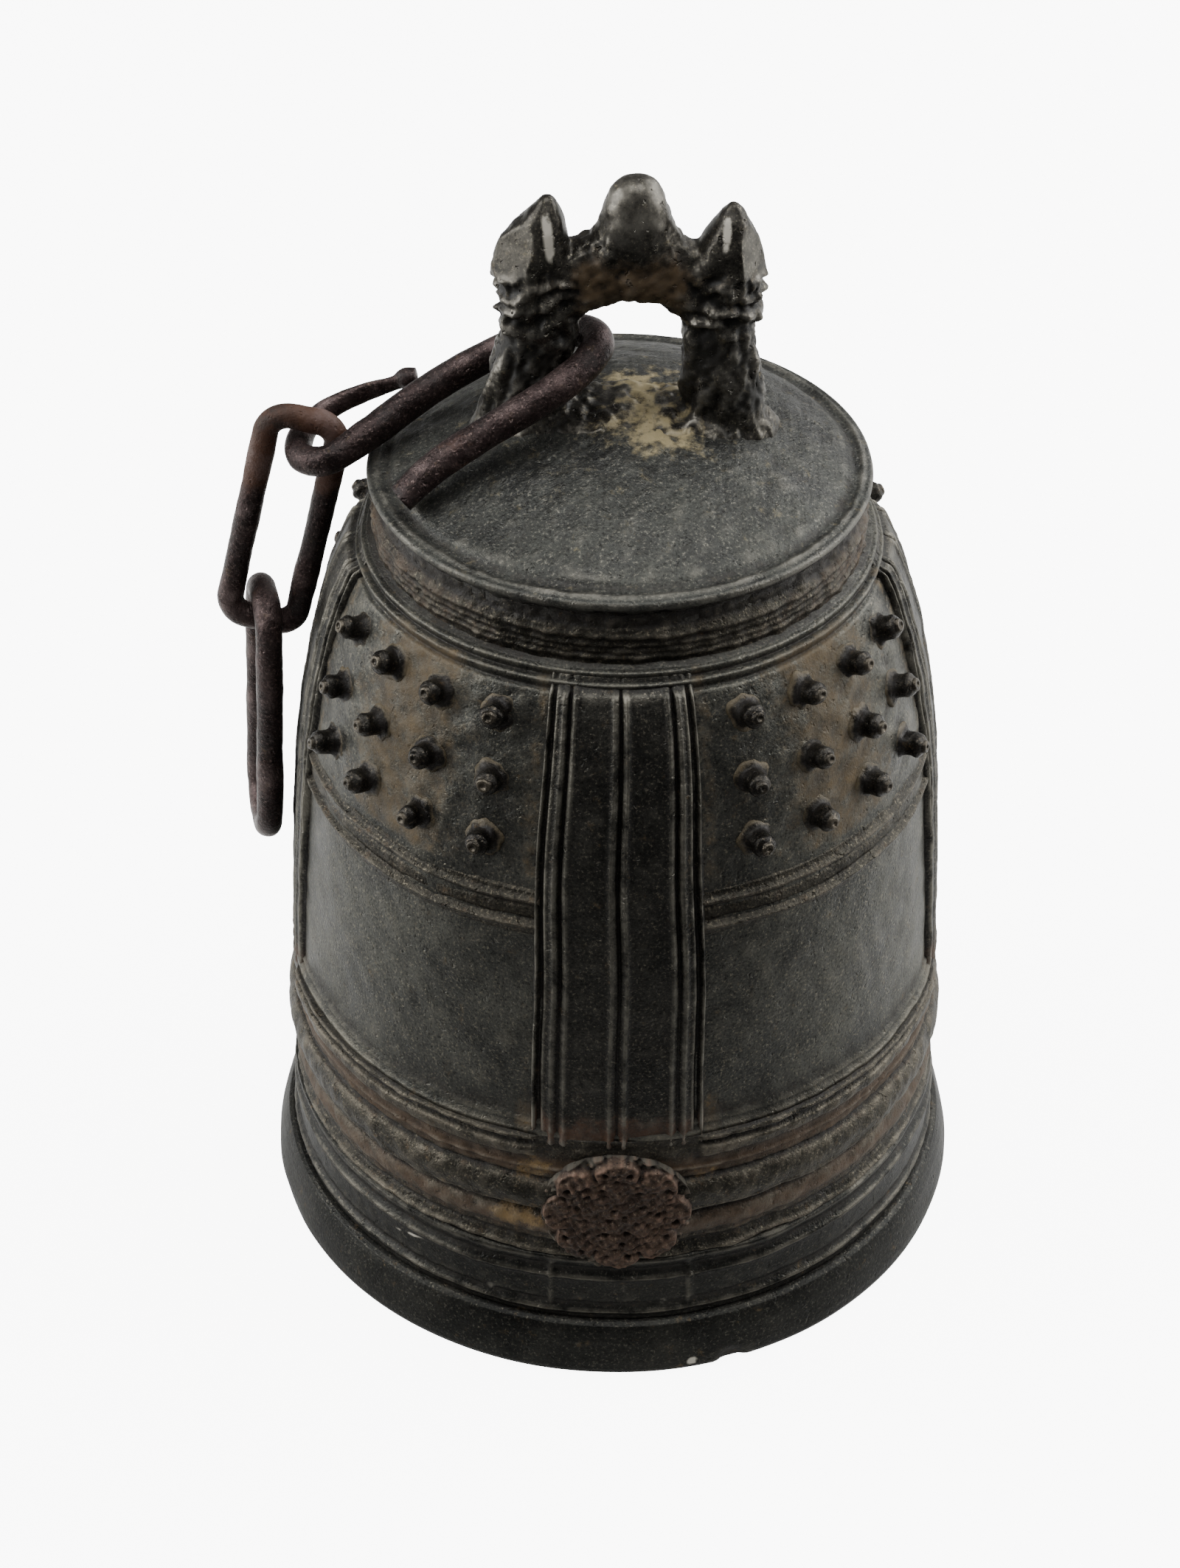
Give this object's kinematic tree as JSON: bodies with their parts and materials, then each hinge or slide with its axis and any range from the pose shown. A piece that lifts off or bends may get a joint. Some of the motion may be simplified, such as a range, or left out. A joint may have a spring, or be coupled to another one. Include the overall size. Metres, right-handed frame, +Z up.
{
  "type": "temple bell",
  "caption": "Small cast temple bell with a dragon handle, raised bands, studs and lotus striking spots, hung from an open iron hook and closed chain links.",
  "frame": {"origin": "centre of the mouth's rim face, on the bell's axis; the bell stands on this plane", "axes": "+Z up along the bell's axis, -Y towards the front medallion, -X towards the hanging chain"},
  "size_m": [0.112, 0.1084, 0.1706],
  "materials": {
    "bronze_wall": "dark aged patina, matt, dirt in the recesses",
    "bronze_relief": "dark aged patina, worn along the ridges",
    "bronze_crown": "dark grey patina, finely pitted",
    "bronze_handle": "rough sand-cast skin, black and ochre, rubbed bright on the points",
    "bronze_bosses": "black patina, rubbed tips",
    "bronze_medallion": "red-brown patina, matt",
    "forged_iron": "purple-brown rust, dry and slightly rough"
  },
  "bodies": {
    "bell": {"lip_ring": "bronze_wall", "lower_skirt": "bronze_wall", "mid_band": "bronze_wall", "waist_shell": "bronze_wall", "shoulder_rings": "bronze_relief", "crown_plate": "bronze_crown", "front_band": "bronze_relief", "right_band": "bronze_relief", "back_band": "bronze_relief", "left_band": "bronze_relief", "upright_ribs": "bronze_relief", "panel_ribs": "bronze_relief", "front_right_bosses": "bronze_bosses", "back_right_bosses": "bronze_bosses", "back_left_bosses": "bronze_bosses", "front_left_bosses": "bronze_bosses", "front_medallion": "bronze_medallion", "back_medallion": "bronze_medallion", "handle_seat": "bronze_handle", "left_leg": "bronze_handle", "right_leg": "bronze_handle", "handle_bridge": "bronze_handle", "left_dragon_head": "bronze_handle", "right_dragon_head": "bronze_handle", "jewel": "bronze_handle"},
    "hook": {"hook": "forged_iron"},
    "middle_link": {"middle_link": "forged_iron"},
    "end_link": {"end_link": "forged_iron"}
  },
  "joints": [
    {"name": "hook_swing", "type": "hinge", "parent": "bell", "child": "hook", "pos_m": [-0.0031, 0, 0.1457], "axis": [0, 1, 0], "range_deg": [0, 116]},
    {"name": "middle_link_swing", "type": "hinge", "parent": "hook", "child": "middle_link", "pos_m": [-0.0445, 0.0045, 0.1269], "axis": [0, 1, 0], "range_deg": [0, 70]},
    {"name": "end_link_swing", "type": "hinge", "parent": "middle_link", "child": "end_link", "pos_m": [-0.05124, 0.0045, 0.09735], "axis": [0.9711, 0, -0.2385], "range_deg": [-50, 50]}
  ]
}
